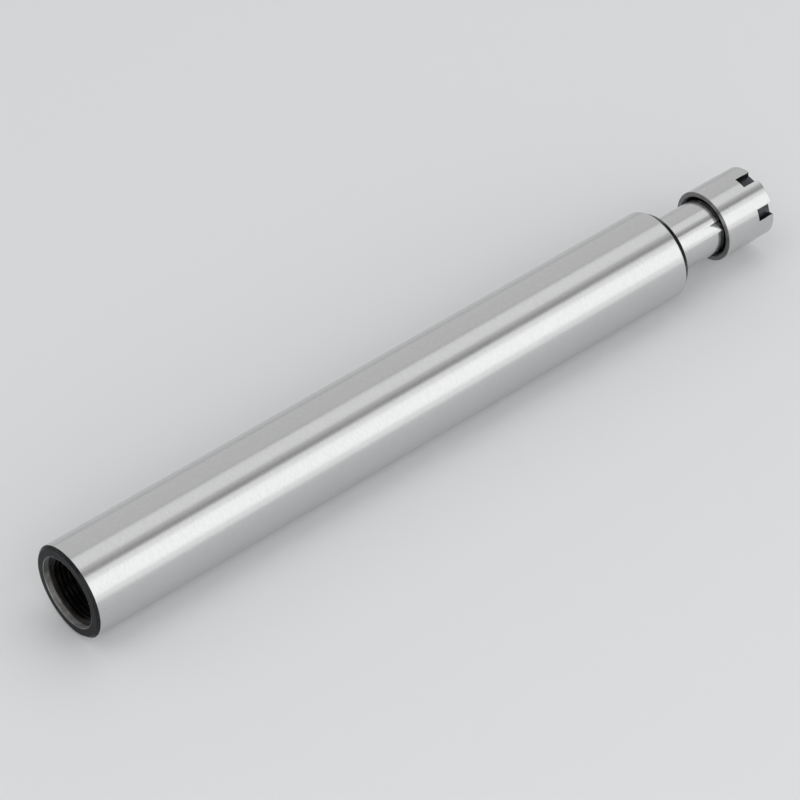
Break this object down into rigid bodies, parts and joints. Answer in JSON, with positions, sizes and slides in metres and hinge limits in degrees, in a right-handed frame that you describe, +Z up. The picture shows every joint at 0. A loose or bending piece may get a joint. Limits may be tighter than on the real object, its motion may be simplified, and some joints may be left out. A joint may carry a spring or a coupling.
{
  "type": "straight shank collet chuck",
  "caption": "Ground straight shank extension with a slim nose, a slotted spring collet and a short castellated clamping nut that draws the collet into its taper.",
  "frame": {"origin": "on the turning axis, half-way along the straight shank", "axes": "+X along the turning axis towards the clamping nut, +Z up with the chuck lying on its shank"},
  "size_m": [0.18, 0.02, 0.02],
  "materials": {
    "ground_steel": "cylindrically ground and bright, with black-oxide end face, recess and bores",
    "collet_steel": "ground spring steel",
    "nut_steel": "ground outside, black-oxide end faces and notches"
  },
  "bodies": {
    "body": {"chuck_body": "ground_steel"},
    "collet": {"collet": "collet_steel"},
    "nut": {"clamping_nut": "nut_steel"}
  },
  "joints": [
    {"name": "collet_slide", "type": "slide", "parent": "body", "child": "collet", "axis": [1, 0, 0], "range_m": [0, 0.006]},
    {"name": "nut_turn", "type": "hinge", "parent": "collet", "child": "nut", "pos_m": [0.0966, 0, 0], "axis": [1, 0, 0], "range_deg": [0, 2880]}
  ],
  "couplings": [
    {"joint": "nut_turn", "follows": "collet_slide", "rad_per_m": 8377.6}
  ]
}
